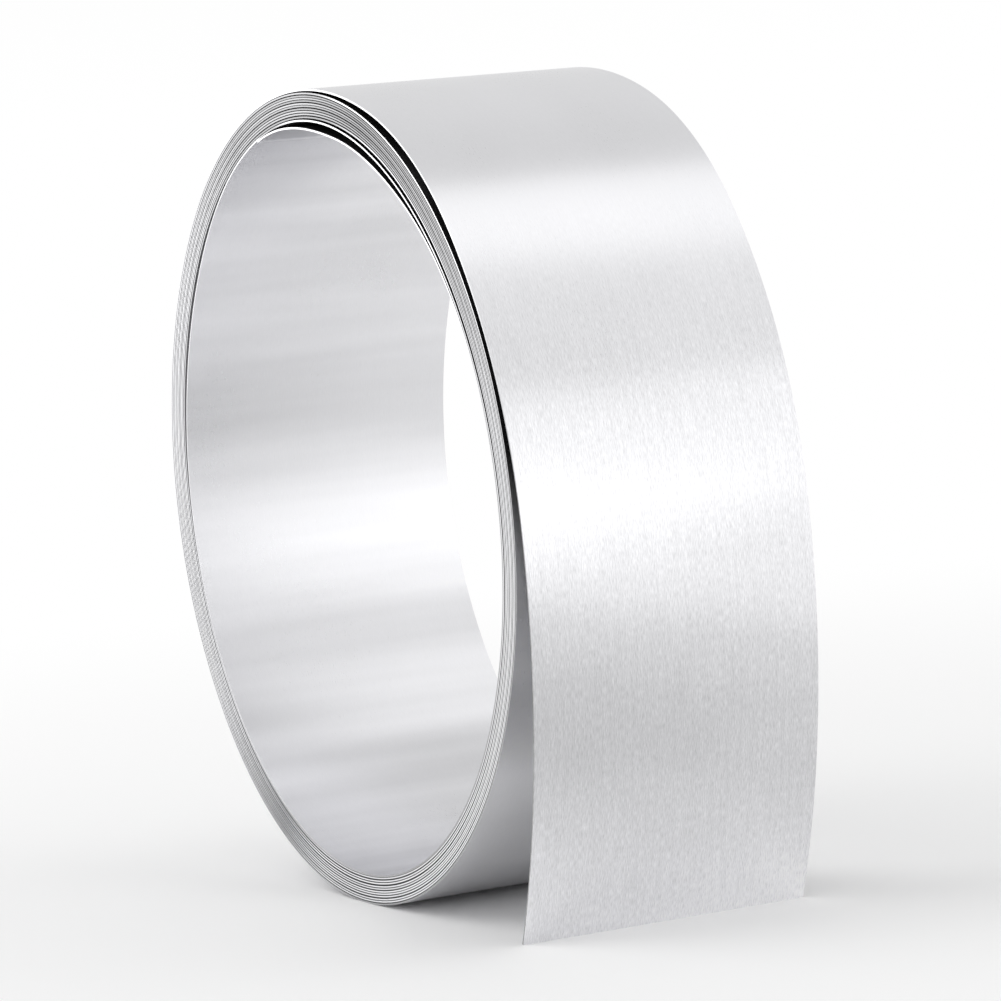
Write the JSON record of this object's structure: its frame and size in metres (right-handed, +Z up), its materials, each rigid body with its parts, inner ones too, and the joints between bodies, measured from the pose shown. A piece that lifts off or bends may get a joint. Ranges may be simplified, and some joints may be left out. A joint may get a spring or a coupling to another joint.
{
  "type": "aluminium strip roll",
  "caption": "Loosely wound roll of bare flat aluminium strip, standing on its rim, with an open round eye and its outer turn sprung off as a tail.",
  "frame": {"origin": "centre of the roll's round eye, half way along the strip's width", "axes": "+Y along the eye, from the front end to the back end; +Z up, with the roll standing on its rim; the tail comes off on the +X side"},
  "size_m": [0.1371, 0.05, 0.1345],
  "materials": {
    "aluminium_strip": "satin"
  },
  "bodies": {
    "root": {"strip_roll": "aluminium_strip"}
  },
  "joints": []
}
